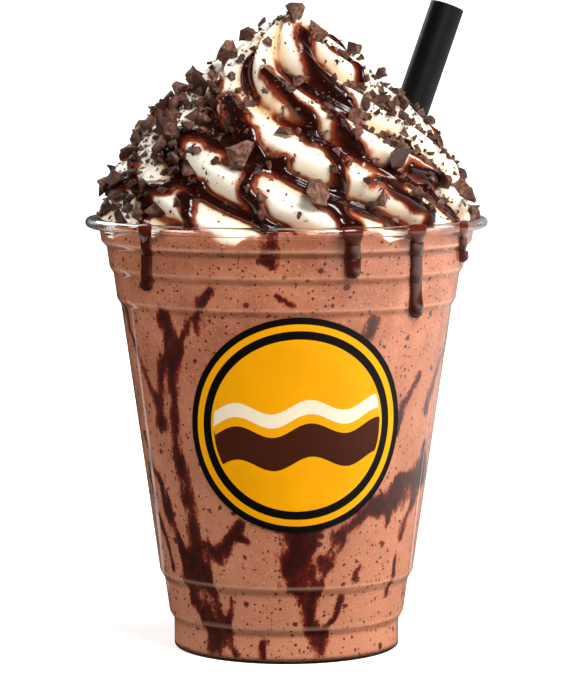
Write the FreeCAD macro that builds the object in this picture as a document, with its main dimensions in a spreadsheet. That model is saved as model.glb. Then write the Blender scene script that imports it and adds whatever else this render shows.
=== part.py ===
"""Chocolate milkshake in a clear plastic cup, with piped cream, a straw, sauce and chocolate chunks.

The frame is the drink's own: +Z up, the origin at the middle of the cup's foot, -Y the front.
Lengths are in millimetres and angles in degrees.  The document keeps the driving sizes in a sheet;
the cup, the drink, the straw and the drips are bound to it, and the cream's swirled surface and the
chunks that lie on it are worked out from it.
"""
import FreeCAD, Part
import math
import os
import Sketcher

# name, value, what it is
SIZES = (
    ("wall", 0.5, "thickness of the cup's wall"),
    ("floor", 0.8, "thickness of the cup's floor"),
    ("draft", 0.142, "how far the wall opens for each millimetre of height"),
    ("foot_radius", 27.6, "outer radius of the foot"),
    ("foot_height", 6.8, "height of the upright foot"),
    ("foot_round", 1.2, "rounding of the foot's lower edge"),
    ("foot_ring", 3.4, "width of the ring that the cup stands on"),
    ("recess_depth", 1.6, "depth of the hollow under the floor"),
    ("low_ledge_width", 1.15, "outward step of each of the two lower ledges"),
    ("low_ledge_rise", 1.9, "height of each lower ledge"),
    ("low_band", 8.2, "height of the band between the lower ledges"),
    ("main_wall", 65.4, "height of the long plain wall"),
    ("high_ledge_width", 0.93, "outward step of each of the two upper ledges"),
    ("high_ledge_rise", 1.45, "height of each upper ledge"),
    ("high_band", 6.2, "height of the band above the first upper ledge"),
    ("top_band", 5.0, "height of the band above the second upper ledge"),
    ("collar_ledge_width", 1.3, "outward step of the ledge under the collar"),
    ("collar_ledge_rise", 1.35, "height of the ledge under the collar"),
    ("collar", 3.3, "height of the collar under the rolled rim"),
    ("bead_width", 3.9, "radial width of the rolled rim"),
    ("bead_height", 2.4, "height of the rolled rim"),
    ("head_gap", 2.1, "how far the shake stays under the rolled rim"),
    ("cream_gap", 0.2, "clearance between the cream and the cup's wall"),
    ("cream_height", 50.0, "height of the cream's tip over the rim"),
    ("cream_tip", 1.0, "radius of the small flat at the cream's tip"),
    ("cream_lean", 1.0, "how far the cream's tip leans to the right"),
    ("ridge_depth", 4.6, "depth of the valleys between the piped ridges"),
    ("ridge_pitch", 20.0, "height that a ridge falls in each radian round the cream"),
    ("straw_radius", 4.25, "outer radius of the straw"),
    ("straw_wall", 0.3, "thickness of the straw's wall"),
    ("straw_length", 162.6, "length of the straw"),
    ("straw_tilt", 20.5, "angle between the straw and the upright"),
    ("straw_heading", 22.0, "direction that the straw leans in, from +X towards +Y"),
    ("straw_foot_x", -12.9, "place of the straw's lower end along X"),
    ("straw_foot_y", -1.8, "place of the straw's lower end along Y"),
    ("straw_foot_gap", 0.3, "clearance between the straw's lower end and the cup's floor"),
)

RIDGES = 8
DOME_POWER = 1.8

# Drips of sauce: direction from the front towards +X, length under the rim, width of the bead.
DRIPS = (
    (-52.0, 13.8, 3.4),
    (20.8, 9.7, 3.9),
    (49.2, 20.2, 4.1),
    (75.4, 8.1, 3.4),
    (118.0, 13.0, 3.7),
    (171.0, 17.5, 3.9),
    (-112.0, 7.5, 3.2),
)
DRIP_NECK = 0.82

# Chunks of chocolate: direction from the front towards +X, share of the cream's height, size.
CHUNKS = (
    (12.0, 0.955, 5.0),
    (58.0, 0.905, 5.2),
    (-61.0, 0.775, 5.6),
    (82.0, 0.825, 5.4),
    (6.0, 0.720, 4.8),
    (-66.0, 0.690, 4.8),
    (63.0, 0.635, 5.2),
    (-80.0, 0.610, 5.0),
    (33.0, 0.555, 6.2),
    (-2.0, 0.480, 5.0),
    (-57.0, 0.455, 5.2),
    (-16.0, 0.350, 6.0),
    (41.0, 0.330, 5.6),
    (-71.0, 0.325, 5.4),
    (60.0, 0.205, 5.2),
    (-73.0, 0.195, 5.2),
    (10.0, 0.180, 6.4),
    (78.0, 0.130, 5.0),
    (-135.0, 0.560, 5.6),
    (168.0, 0.700, 5.4),
    (150.0, 0.330, 5.8),
    (-165.0, 0.210, 5.2),
    (-118.0, 0.240, 5.4),
)
CHUNK_SINK = 0.30
TURN_OF_EACH_CHUNK = 137.5


class Size:
    """A length or ratio: its value, and the formula over the sheet's cells that gives it."""

    def __init__(self, value, formula):
        self.value = value
        self.formula = formula

    def __add__(self, other):
        return Size(self.value + other.value, f"({self.formula} + {other.formula})")

    def __sub__(self, other):
        return Size(self.value - other.value, f"({self.formula} - {other.formula})")

    def __mul__(self, other):
        return Size(self.value * other.value, f"({self.formula} * {other.formula})")


doc = FreeCAD.newDocument("Milkshake")
sheet = doc.addObject("Spreadsheet::Sheet", "Sizes")
for row, (name, value, meaning) in enumerate(SIZES, start=1):
    sheet.set(f"A{row}", name)
    sheet.set(f"B{row}", str(value))
    sheet.set(f"C{row}", meaning)
    sheet.setAlias(f"B{row}", name)
doc.recompute()

VALUES = {name: value for name, value, meaning in SIZES}
ZERO = Size(0.0, "0")
HALF = Size(0.5, "0.5")


def cell(name):
    """The size that one cell of the sheet holds."""
    return Size(VALUES[name], f"Sizes.{name}")


def bind(feature, **sizes):
    """Tie properties of a feature to sizes."""
    for attribute, size in sizes.items():
        feature.setExpression(attribute, size.formula)


# ---------------------------------------------------------------- the cup's outline

# Each step is (outward, upward).  The cup's outside, its cavity and the shake share these steps.
WALL_STEPS = (
    (cell("low_ledge_width"), cell("low_ledge_rise")),
    (cell("low_band") * cell("draft"), cell("low_band")),
    (cell("low_ledge_width"), cell("low_ledge_rise")),
    (cell("main_wall") * cell("draft"), cell("main_wall")),
    (cell("high_ledge_width"), cell("high_ledge_rise")),
    (cell("high_band") * cell("draft"), cell("high_band")),
    (cell("high_ledge_width"), cell("high_ledge_rise")),
    (cell("top_band") * cell("draft"), cell("top_band")),
    (cell("collar_ledge_width"), cell("collar_ledge_rise")),
    (cell("collar") * cell("draft"), cell("collar")),
)


def total(sizes, start):
    """The sum of sizes, added to a first one."""
    for size in sizes:
        start = start + size
    return start


collar_top = total([up for out, up in WALL_STEPS], cell("foot_height"))
collar_radius = total([out for out, up in WALL_STEPS], cell("foot_radius"))
half_bead = cell("bead_height") * HALF
bead_middle = collar_top + half_bead
cup_height = collar_top + cell("bead_height")
shake_level = collar_top - cell("head_gap")
floor_top = cell("recess_depth") + cell("floor")
mouth_radius = collar_radius - cell("wall")


def wall_radius(height):
    """Outer radius of the cup's wall at a height, in millimetres."""
    radius, low = VALUES["foot_radius"], VALUES["foot_height"]
    for out, up in WALL_STEPS:
        if height <= low + up.value:
            share = max(0.0, height - low) / up.value
            return radius + share * out.value
        radius += out.value
        low += up.value
    return radius


# ---------------------------------------------------------------- sketches and bodies


def new_body(name):
    """An empty body with a label of its own."""
    body = doc.addObject("PartDesign::Body", name)
    body.Label = name
    return body


def new_sketch(body, name, role):
    """A sketch on one of the body's own origin planes."""
    plane = next(item for item in body.Origin.OriginFeatures if item.Role == role)
    sketch = body.newObject("Sketcher::SketchObject", name)
    sketch.AttachmentSupport = (plane, [""])
    sketch.MapMode = "FlatFace"
    return sketch


def fix_step(sketch, line, direction, size):
    """Hold one component of a line's run at a size; a size of nought makes the line upright or level."""
    if size.value == 0.0:
        kind = "Vertical" if direction == "DistanceX" else "Horizontal"
        sketch.addConstraint(Sketcher.Constraint(kind, line))
        return
    ends = (line, 1, line, 2) if size.value > 0.0 else (line, 2, line, 1)
    number = sketch.addConstraint(Sketcher.Constraint(direction, *ends, abs(size.value)))
    sign = "" if size.value > 0.0 else "-1 * "
    sketch.setExpression(f"Constraints[{number}]", sign + size.formula)


def turned_outline(sketch, first_height, steps):
    """A closed outline for turning about the sketch's upright axis.

    It starts on the axis at first_height, follows the steps and goes back level to the axis.
    """
    here = FreeCAD.Vector(0, first_height.value, 0)
    start = here
    for number, (out, up) in enumerate(steps):
        there = here + FreeCAD.Vector(out.value, up.value, 0)
        sketch.addGeometry(Part.LineSegment(here, there))
        if number:
            sketch.addConstraint(Sketcher.Constraint("Coincident", number - 1, 2, number, 1))
        here = there
    last = len(steps)
    on_axis = FreeCAD.Vector(0, here.y, 0)
    sketch.addGeometry([Part.LineSegment(here, on_axis), Part.LineSegment(on_axis, start)])
    sketch.addConstraint(Sketcher.Constraint("Coincident", last - 1, 2, last, 1))
    sketch.addConstraint(Sketcher.Constraint("Coincident", last, 2, last + 1, 1))
    sketch.addConstraint(Sketcher.Constraint("Coincident", last + 1, 2, 0, 1))
    sketch.addConstraint(Sketcher.Constraint("Horizontal", last))
    sketch.addConstraint(Sketcher.Constraint("PointOnObject", last, 2, -2))
    sketch.addConstraint(Sketcher.Constraint("PointOnObject", 0, 1, -2))
    for number, (out, up) in enumerate(steps):
        fix_step(sketch, number, "DistanceX", out)
        fix_step(sketch, number, "DistanceY", up)
    if first_height.value == 0.0:
        sketch.addConstraint(Sketcher.Constraint("PointOnObject", 0, 1, -1))
    else:
        height = Sketcher.Constraint("DistanceY", -1, 1, 0, 1, first_height.value)
        number = sketch.addConstraint(height)
        sketch.setExpression(f"Constraints[{number}]", first_height.formula)


def turn(body, sketch, kind, name):
    """Turn a sketch once round the cup's axis, adding (Revolution) or cutting (Groove) material."""
    before = body.Shape.Volume if body.Tip else 0.0
    feature = body.newObject(f"PartDesign::{kind}", name)
    feature.Profile = sketch
    feature.ReferenceAxis = (sketch, ["V_Axis"])
    feature.Angle = 360.0
    doc.recompute()
    change = body.Shape.Volume - before
    if (change > 0.0) != (kind == "Revolution"):
        raise RuntimeError(f"{name} changed the volume by {change:.1f} mm3, the wrong way")
    return feature


def stadium(sketch, inner, outer, middle, half_height):
    """A level outline with two straight sides and two half-round ends, for the rolled rim."""
    left = inner + half_height
    right = outer - half_height
    radius = half_height.value
    centre_left = FreeCAD.Vector(left.value, middle.value, 0)
    centre_right = FreeCAD.Vector(right.value, middle.value, 0)
    lift = FreeCAD.Vector(0, radius, 0)
    upright = FreeCAD.Vector(0, 0, 1)
    quarter = math.pi / 2
    left_end = Part.ArcOfCircle(Part.Circle(centre_left, upright, radius), quarter, 3 * quarter)
    right_end = Part.ArcOfCircle(Part.Circle(centre_right, upright, radius), -quarter, quarter)
    top = Part.LineSegment(centre_right + lift, centre_left + lift)
    bottom = Part.LineSegment(centre_left - lift, centre_right - lift)
    sketch.addGeometry([left_end, bottom, right_end, top])
    for number in range(4):
        sketch.addConstraint(Sketcher.Constraint("Tangent", number, 2, (number + 1) % 4, 1))
    sketch.addConstraint(Sketcher.Constraint("Horizontal", 1))
    for constraint, size in (
        (Sketcher.Constraint("Radius", 0, radius), half_height),
        (Sketcher.Constraint("DistanceX", -1, 1, 0, 3, left.value), left),
        (Sketcher.Constraint("DistanceY", -1, 1, 0, 3, middle.value), middle),
        (Sketcher.Constraint("DistanceX", -1, 1, 2, 3, right.value), right),
    ):
        number = sketch.addConstraint(constraint)
        sketch.setExpression(f"Constraints[{number}]", size.formula)


CAVITY_STEPS = (
    (cell("foot_radius") - cell("foot_ring") + cell("wall"), ZERO),
    (ZERO, cell("floor") - floor_top),
    (cell("foot_ring") - cell("wall") - cell("wall"), ZERO),
    (ZERO, cell("foot_height") - cell("floor")),
) + WALL_STEPS + ((ZERO, cell("bead_height")),)

OUTER_STEPS = ((cell("foot_radius"), ZERO), (ZERO, cell("foot_height"))) + WALL_STEPS


def make_cup():
    """The thin stepped wall, the rolled rim, and the floor with the hollow under it."""
    body = new_body("cup")
    outside = new_sketch(body, "cup_outside", "XZ_Plane")
    turned_outline(outside, ZERO, OUTER_STEPS + ((ZERO, half_bead),))
    turn(body, outside, "Revolution", "cup_block")

    bead = new_sketch(body, "rim_outline", "XZ_Plane")
    stadium(bead, mouth_radius, mouth_radius + cell("bead_width"), bead_middle, half_bead)
    turn(body, bead, "Revolution", "rolled_rim")

    inside = new_sketch(body, "cup_inside", "XZ_Plane")
    turned_outline(inside, floor_top, CAVITY_STEPS)
    turn(body, inside, "Groove", "cup_cavity")

    under = new_sketch(body, "floor_recess", "XZ_Plane")
    recess_radius = cell("foot_radius") - cell("foot_ring")
    turned_outline(under, ZERO, ((recess_radius, ZERO), (ZERO, cell("recess_depth"))))
    hollow = turn(body, under, "Groove", "floor_hollow")

    edge = next(
        f"Edge{number}"
        for number, edge in enumerate(hollow.Shape.Edges, start=1)
        if edge.BoundBox.ZMax < 1e-6 and abs(edge.BoundBox.XMax - VALUES["foot_radius"]) < 1e-6
    )
    rounding = body.newObject("PartDesign::Fillet", "foot_rounding")
    rounding.Base = (hollow, [edge])
    bind(rounding, Radius=cell("foot_round"))
    doc.recompute()
    return body


def make_cavity():
    """The inside of the cup as a solid, up to the top of the rim."""
    body = new_body("cavity")
    outline = new_sketch(body, "cavity_outline", "XZ_Plane")
    turned_outline(outline, floor_top, CAVITY_STEPS)
    turn(body, outline, "Revolution", "cavity_block")
    return body


# ---------------------------------------------------------------- the straw


def straw_axis():
    """The point where the straw's axis starts, and the axis's direction."""
    tilt = math.radians(VALUES["straw_tilt"])
    heading = math.radians(VALUES["straw_heading"])
    across = math.sin(tilt)
    direction = FreeCAD.Vector(
        across * math.cos(heading), across * math.sin(heading), math.cos(tilt)
    )
    lowest_edge = floor_top.value + VALUES["straw_foot_gap"]
    height = lowest_edge + VALUES["straw_radius"] * across
    start = FreeCAD.Vector(VALUES["straw_foot_x"], VALUES["straw_foot_y"], height)
    return start, direction


def along(start, direction):
    """The placement that puts a feature's own Z axis on a line."""
    turn_to_line = FreeCAD.Rotation(FreeCAD.Vector(0, 0, 1), direction)
    return FreeCAD.Placement(start, turn_to_line)


def make_straw():
    """An open tube, cut off square at both ends."""
    body = new_body("straw")
    ring = new_sketch(body, "straw_ring", "XY_Plane")
    centre = FreeCAD.Vector(0, 0, 0)
    upright = FreeCAD.Vector(0, 0, 1)
    bore = cell("straw_radius") - cell("straw_wall")
    for number, radius in enumerate((cell("straw_radius"), bore)):
        sketch_circle = Part.Circle(centre, upright, radius.value)
        ring.addGeometry(sketch_circle)
        ring.addConstraint(Sketcher.Constraint("Coincident", number, 3, -1, 1))
        held = ring.addConstraint(Sketcher.Constraint("Radius", number, radius.value))
        ring.setExpression(f"Constraints[{held}]", radius.formula)
    tube = body.newObject("PartDesign::Pad", "straw_tube")
    tube.Profile = ring
    bind(tube, Length=cell("straw_length"))
    body.Placement = along(*straw_axis())
    doc.recompute()
    return body


def make_straw_core():
    """A solid rod that fills the straw out to its outer face, for cutting the cream."""
    rod = doc.addObject("Part::Cylinder", "straw_core")
    bind(rod, Radius=cell("straw_radius"), Height=cell("straw_length"))
    rod.Placement = along(*straw_axis())
    return rod


# ---------------------------------------------------------------- the cream

cream_radius = mouth_radius.value - VALUES["cream_gap"]
cream_start = shake_level.value
cream_shoulder = cup_height.value
cream_top = cup_height.value + VALUES["cream_height"]


def crest_radius(height):
    """Radius of the ridges' crests: upright up to the rim, then a dome with a pointed top."""
    rise = max(0.0, height - cream_shoulder) / (cream_top - cream_shoulder)
    return cream_radius * (1.0 - min(1.0, rise) ** DOME_POWER)


def crest_slope(height):
    """How fast the crest's radius changes with height."""
    rise = max(0.0, height - cream_shoulder) / (cream_top - cream_shoulder)
    return -cream_radius * DOME_POWER * rise ** (DOME_POWER - 1.0) / (cream_top - cream_shoulder)


def cream_point(turn_angle, height):
    """A point of the cream's surface.

    The valleys lie ridge_depth * (1 - |cos(RIDGES / 2 * (angle + height / ridge_pitch))|) under
    the crests, square to the dome, and get shallower where the dome is narrow.
    """
    phase = turn_angle + (height - cream_shoulder) / VALUES["ridge_pitch"]
    valley = 1.0 - abs(math.cos(0.5 * RIDGES * phase))
    depth = VALUES["ridge_depth"] * min(1.0, crest_radius(height) / (0.45 * cream_radius)) * valley
    slope = crest_slope(height)
    level_share = 1.0 / math.hypot(1.0, slope)
    radius = max(VALUES["cream_tip"], crest_radius(height)) - depth * level_share
    droop = depth * level_share * slope if height > cream_shoulder else 0.0
    rise = max(0.0, height - cream_shoulder) / (cream_top - cream_shoulder)
    lean = VALUES["cream_lean"] * rise ** 2
    return FreeCAD.Vector(
        radius * math.cos(turn_angle) + lean,
        radius * math.sin(turn_angle),
        height + droop,
    )


def cream_heights(rows):
    """Heights of the surface's rows: even on the upright part, then closer towards the tip."""
    last = cream_shoulder + (cream_top - cream_shoulder) * (
        1.0 - VALUES["cream_tip"] / cream_radius
    ) ** (1.0 / DOME_POWER)
    upright = [cream_start + (cream_shoulder - cream_start) * share / 3 for share in range(3)]
    dome = [
        cream_shoulder + (last - cream_shoulder) * math.sin(0.5 * math.pi * share / (rows - 1))
        for share in range(rows)
    ]
    return upright + dome


def make_mound(columns_per_ridge=8, rows=26):
    """The swirled dome as one solid: a spline surface, closed flat at the foot and at the tip."""
    columns = columns_per_ridge * RIDGES
    heights = cream_heights(rows)
    poles = [
        [cream_point(2 * math.pi * column / columns, height) for height in heights]
        for column in range(columns)
    ]
    for column in poles:
        column[0].z = cream_start
        column[-1].z = heights[-1]
    degree = 3
    knots_up = list(range(len(heights) - degree + 1))
    multiplicities_up = [degree + 1] + [1] * (len(knots_up) - 2) + [degree + 1]
    surface = Part.BSplineSurface()
    surface.buildFromPolesMultsKnots(
        poles,
        [1] * (columns + 1),
        multiplicities_up,
        list(range(columns + 1)),
        knots_up,
        True,
        False,
        degree,
        degree,
    )
    side = surface.toShape()
    loops = [
        edge for edge in side.Edges if edge.BoundBox.ZLength < 1e-6 and edge.BoundBox.XLength > 1e-3
    ]
    ends = [Part.Face(Part.Wire([edge])) for edge in loops]
    solid = Part.Solid(Part.Shell([side] + ends))
    tolerance = 1e-6
    solid.fix(tolerance, tolerance, 100 * tolerance)
    mound = doc.addObject("Part::Feature", "cream_mound")
    mound.Shape = solid
    return mound


# ---------------------------------------------------------------- booleans


def combined(kind, name, base, tool):
    """A boolean feature (Cut, Fuse or Common) of two others."""
    feature = doc.addObject(f"Part::{kind}", name)
    feature.Base = base
    feature.Tool = tool
    feature.Label = name
    return feature


def make_milkshake(cavity, straw):
    """The drink: the cup's inside up to its level, with the straw's wall cut out of it."""
    block = doc.addObject("Part::Cylinder", "up_to_the_level")
    bind(block, Radius=collar_radius, Height=shake_level)
    filled = combined("Common", "filled_part", cavity, block)
    return combined("Cut", "milkshake", filled, straw)


# ---------------------------------------------------------------- sauce and chocolate


def towards(azimuth):
    """The level direction at an angle from the front towards +X."""
    angle = math.radians(azimuth - 90.0)
    return FreeCAD.Vector(math.cos(angle), math.sin(angle), 0)


def make_drip(name, azimuth, length, width, cup_block):
    """A run of sauce down the outside of the wall from under the rim, with a round bead at its end."""
    out = towards(azimuth)
    half_width = width / 2
    bead_height = collar_top.value - length + half_width
    top = out * wall_radius(collar_top.value) + FreeCAD.Vector(0, 0, collar_top.value)
    end = out * wall_radius(bead_height) + FreeCAD.Vector(0, 0, bead_height)
    run = doc.addObject("Part::Cylinder", f"{name}_run")
    run.Radius = half_width * DRIP_NECK
    run.Height = (top - end).Length
    run.Placement = along(end, top - end)
    bead = doc.addObject("Part::Sphere", f"{name}_bead")
    bead.Radius = half_width
    bead.Placement.Base = end
    joined = combined("Fuse", f"{name}_whole", run, bead)
    return combined("Cut", name, joined, cup_block)


def make_chunk(name, number, azimuth, share, size, cream):
    """A broken piece of chocolate, wider at its foot, that sits in the surface of the cream."""
    angle = math.radians(azimuth - 90.0)
    height = cream_shoulder + share * (cream_top - cream_shoulder)
    seat = cream_point(angle, height)
    slope = crest_slope(height)
    normal = towards(azimuth) - FreeCAD.Vector(0, 0, slope)
    normal.normalize()

    turn_angle = TURN_OF_EACH_CHUNK * number
    wobble = math.sin(math.radians(turn_angle))
    half_length = 0.5 * size
    half_depth = 0.5 * size * (0.78 + 0.12 * wobble)
    top = size * (0.62 + 0.10 * wobble)
    shard = doc.addObject("Part::Wedge", f"{name}_whole")
    shard.Xmin = -half_length
    shard.Xmax = half_length
    shard.Zmin = -half_depth
    shard.Zmax = half_depth
    shard.Ymin = 0.0
    shard.Ymax = top
    shard.X2min = -half_length * (0.25 + 0.35 * abs(wobble))
    shard.X2max = half_length * 0.75
    shard.Z2min = -half_depth * 0.70
    shard.Z2max = half_depth * (0.45 - 0.20 * wobble)

    upright_to_normal = FreeCAD.Rotation(FreeCAD.Vector(0, 1, 0), normal)
    own_turn = FreeCAD.Rotation(FreeCAD.Vector(0, 1, 0), turn_angle)
    foot = seat - normal * (CHUNK_SINK * size)
    shard.Placement = FreeCAD.Placement(foot, upright_to_normal.multiply(own_turn))
    return combined("Cut", name, shard, cream)


# ---------------------------------------------------------------- the whole drink

cup = make_cup()
cavity = make_cavity()
straw = make_straw()
straw_core = make_straw_core()
milkshake = make_milkshake(cavity, straw)
cream = combined("Cut", "cream", make_mound(), straw_core)
cup_block = combined("Fuse", "cup_filled", cup, cavity)

nodes = [cup, milkshake, cream, straw]
for number, (azimuth, length, width) in enumerate(DRIPS, start=1):
    nodes.append(make_drip(f"sauce_drip_{number}", azimuth, length, width, cup_block))
for number, (azimuth, share, size) in enumerate(CHUNKS, start=1):
    nodes.append(make_chunk(f"chocolate_chunk_{number:02d}", number, azimuth, share, size, cream))
doc.recompute()

for feature in doc.Objects:
    if "Invalid" in feature.State or "Error" in feature.State:
        raise RuntimeError(f"{feature.Name} failed to build")
for node in nodes:
    if node.Shape.isNull() or not node.Shape.isValid():
        raise RuntimeError(f"{node.Label} has no valid shape")
    if len(node.Shape.Solids) != 1:
        raise RuntimeError(f"{node.Label} has {len(node.Shape.Solids)} solids")

os.makedirs("parts", exist_ok=True)
for node in nodes:
    node.Shape.exportStep(f"parts/{node.Label}.step")
    box = node.Shape.BoundBox
    print(
        f"{node.Label}: X {box.XMin:.1f}..{box.XMax:.1f}  Y {box.YMin:.1f}..{box.YMax:.1f}  "
        f"Z {box.ZMin:.1f}..{box.ZMax:.1f}  {node.Shape.Volume / 1000:.2f} ml"
    )
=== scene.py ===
# %% [markdown]
# # A chocolate milkshake in a clear cup
# The drink is built in layers, from the table up: a thin clear cup, the drink that fills it, piped
# cream, sauce that runs over the cream and down the cup, broken chocolate, and a straw.  Every shape
# is worked out from a few sizes in millimetres, and Blender gets its points in metres.
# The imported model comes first.  It fixes the size and the place of everything.

# %% Load the frame
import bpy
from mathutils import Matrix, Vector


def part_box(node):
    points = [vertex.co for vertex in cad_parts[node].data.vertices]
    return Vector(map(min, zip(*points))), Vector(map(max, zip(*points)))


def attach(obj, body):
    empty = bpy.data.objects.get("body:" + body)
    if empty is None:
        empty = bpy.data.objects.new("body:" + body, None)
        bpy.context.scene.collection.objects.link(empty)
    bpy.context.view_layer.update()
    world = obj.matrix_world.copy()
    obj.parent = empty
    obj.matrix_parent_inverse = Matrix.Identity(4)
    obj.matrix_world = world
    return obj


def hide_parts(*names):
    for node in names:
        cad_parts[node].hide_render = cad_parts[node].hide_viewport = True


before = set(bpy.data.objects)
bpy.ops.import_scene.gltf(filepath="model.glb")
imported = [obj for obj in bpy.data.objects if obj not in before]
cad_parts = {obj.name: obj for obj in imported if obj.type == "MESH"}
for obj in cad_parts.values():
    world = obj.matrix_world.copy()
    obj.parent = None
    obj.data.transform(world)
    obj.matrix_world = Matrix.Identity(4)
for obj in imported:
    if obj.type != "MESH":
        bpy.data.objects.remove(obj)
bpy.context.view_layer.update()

import math

import bmesh
import bpy
import numpy as np

MM = 0.001

# %% [markdown]
# ## Camera, floor and light
# A long lens from three quarters of a metre keeps the perspective flat.  The colours go to the
# screen unchanged, because food looks grey when its contrast is taken away.

# %% Camera
CAMERA_PLACE = (0.0, -0.7684, 0.1493)
CAMERA_PITCH = 5.58
camera_data = bpy.data.cameras.new("camera")
camera_data.lens = 165.4
camera_data.sensor_width = 36.0
camera = bpy.data.objects.new("camera", camera_data)
camera.location = CAMERA_PLACE
camera.rotation_euler = (math.radians(90.0 - CAMERA_PITCH), 0.0, 0.0)
bpy.context.scene.collection.objects.link(camera)
bpy.context.scene.camera = camera
bpy.context.scene.view_settings.view_transform = "Standard"

# %% Helpers that turn arrays into objects


def colour(red, green, blue):
    """A screen colour, 0 to 255, as linear light: ((c + 0.055) / 1.055) ** 2.4."""
    channels = np.array([red, green, blue]) / 255.0
    linear = np.where(channels > 0.04045, ((channels + 0.055) / 1.055) ** 2.4, channels / 12.92)
    return (*linear, 1.0)


def ring_faces(rows, columns, closed=True):
    """Four-sided faces of a grid: columns run anticlockwise, rows run up the outside."""
    row = np.arange(rows - 1)[:, None]
    column = np.arange(columns if closed else columns - 1)[None, :]
    after = (column + 1) % columns
    corners = [row * columns + column, row * columns + after]
    corners += [(row + 1) * columns + after, (row + 1) * columns + column]
    return np.stack(corners, axis=-1).reshape(-1, 4)


def new_object(name, points, faces, material, smooth=True, values=None):
    """A mesh object from points in millimetres; values holds named numbers, one for each point."""
    mesh = bpy.data.meshes.new(name)
    mesh.from_pydata(np.asarray(points, float).reshape(-1, 3) * MM, [], faces)
    mesh.polygons.foreach_set("use_smooth", np.full(len(mesh.polygons), smooth))
    for label, numbers in (values or {}).items():
        layer = mesh.attributes.new(label, "FLOAT", "POINT")
        layer.data.foreach_set("value", np.asarray(numbers, np.float32).ravel())
    mesh.materials.append(material)
    mesh.update()
    thing = bpy.data.objects.new(name, mesh)
    bpy.context.scene.collection.objects.link(thing)
    return thing


def merge_doubles(thing, distance=1e-6):
    """Close seams and poles by merging the points that lie on each other."""
    work = bmesh.new()
    work.from_mesh(thing.data)
    bmesh.ops.remove_doubles(work, verts=work.verts, dist=distance)
    work.to_mesh(thing.data)
    work.free()
    thing.data.update()


def part_of_drink(thing, stands_for=()):
    """The piece moves with the drink and stands for CAD nodes."""
    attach(thing, "root")
    if stands_for:
        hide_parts(*stands_for)
    print(thing.name, len(thing.data.vertices), "points", len(thing.data.polygons), "faces")


# %% Helpers for materials


class Nodes:
    """A short way to write one material's node tree."""

    def __init__(self, name):
        self.material = bpy.data.materials.new(name)
        self.material.use_nodes = True
        self.tree = self.material.node_tree
        self.shader = self.tree.nodes["Principled BSDF"]
        self.place = self.add("ShaderNodeTexCoord").outputs["Object"]

    def add(self, kind, **settings):
        node = self.tree.nodes.new(kind)
        for key, value in settings.items():
            setattr(node, key, value)
        return node

    def link(self, source, target):
        self.tree.links.new(source, target)

    def value(self, label):
        """The numbers that a mesh keeps for its points under this name."""
        return self.add("ShaderNodeAttribute", attribute_name=label).outputs["Fac"]

    def noise(self, size, detail=3.0, roughness=0.55, vector=None, output="Fac"):
        """Noise whose lumps are about size millimetres across."""
        node = self.add("ShaderNodeTexNoise")
        node.inputs["Scale"].default_value = 1.0 / (size * MM)
        node.inputs["Detail"].default_value = detail
        node.inputs["Roughness"].default_value = roughness
        self.link(vector or self.place, node.inputs["Vector"])
        return node.outputs[output]

    def math(self, operation, first, second=0.0, clamp=False):
        node = self.add("ShaderNodeMath", operation=operation, use_clamp=clamp)
        for socket, item in zip(node.inputs, (first, second)):
            if isinstance(item, (int, float)):
                socket.default_value = item
            else:
                self.link(item, socket)
        return node.outputs[0]

    def above(self, source, level, gain, clamp=True):
        """gain times how far source lies above level, kept from 0 to 1 unless clamp is off."""
        return self.math("MULTIPLY", self.math("SUBTRACT", source, level), gain, clamp=clamp)

    def along(self, axis):
        """The distance along X, Y or Z, in metres."""
        parts = self.add("ShaderNodeSeparateXYZ")
        self.link(self.place, parts.inputs["Vector"])
        return parts.outputs[axis]

    def ramp(self, factor, *stops):
        """Colours along a ramp: each stop is (place, colour)."""
        node = self.add("ShaderNodeValToRGB")
        line = node.color_ramp
        while len(line.elements) < len(stops):
            line.elements.new(1.0)
        for element, (place, shade) in zip(line.elements, stops):
            element.position = place
            element.color = shade
        self.link(factor, node.inputs["Fac"])
        return node.outputs["Color"]

    def mix(self, factor, first, second):
        """The first colour where factor is 0, the second where it is 1."""
        node = self.add("ShaderNodeMix", data_type="RGBA")
        sockets = (node.inputs[0], node.inputs[6], node.inputs[7])
        for socket, item in zip(sockets, (factor, first, second)):
            if isinstance(item, (int, float, tuple)):
                socket.default_value = item
            else:
                self.link(item, socket)
        return node.outputs[2]

    def set(self, **settings):
        """Numbers and colours that are the same all over the surface."""
        for key, value in settings.items():
            self.shader.inputs[key.replace("_", " ")].default_value = value

    def bump(self, height, distance, strength=1.0):
        """Fine relief, distance millimetres deep."""
        node = self.add("ShaderNodeBump")
        node.inputs["Distance"].default_value = distance * MM
        node.inputs["Strength"].default_value = strength
        self.link(height, node.inputs["Height"])
        self.link(node.outputs["Normal"], self.shader.inputs["Normal"])

    def paint(self, shade):
        """The shade is the base colour."""
        self.link(shade, self.shader.inputs["Base Color"])

    def either(self, factor, first, second):
        """The first shader where factor is 0, the second where it is 1."""
        node = self.add("ShaderNodeMixShader")
        for socket, source in zip(node.inputs, (factor, first, second)):
            self.link(source, socket)
        return node.outputs["Shader"]

    def finish(self, shader):
        """This shader is the whole surface."""
        self.link(shader, self.tree.nodes["Material Output"].inputs["Surface"])


# %% [markdown]
# The floor curves up behind the drink, so that no horizon shows.  It stays pale, as a white table lit
# from all round does: where the camera sees it, directly or straight through the clear wall, it glows
# a little, and less near the foot, which leaves a soft shadow.  Bounced light meets a dark floor on
# the left and a pale one on the right, which gives the drink a darker and a brighter side.

# %% Floor and backdrop
FLOOR_LENGTH, FLOOR_ROUND, FLOOR_UPRIGHT = 1.6, 0.5, 1.0
FLOOR_FRONT, FLOOR_HALF_WIDTH = -0.9, 1.6
FLOOR_ROWS, FLOOR_COLUMNS = 61, 9
BELOW_THE_CUP = 0.00005


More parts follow.
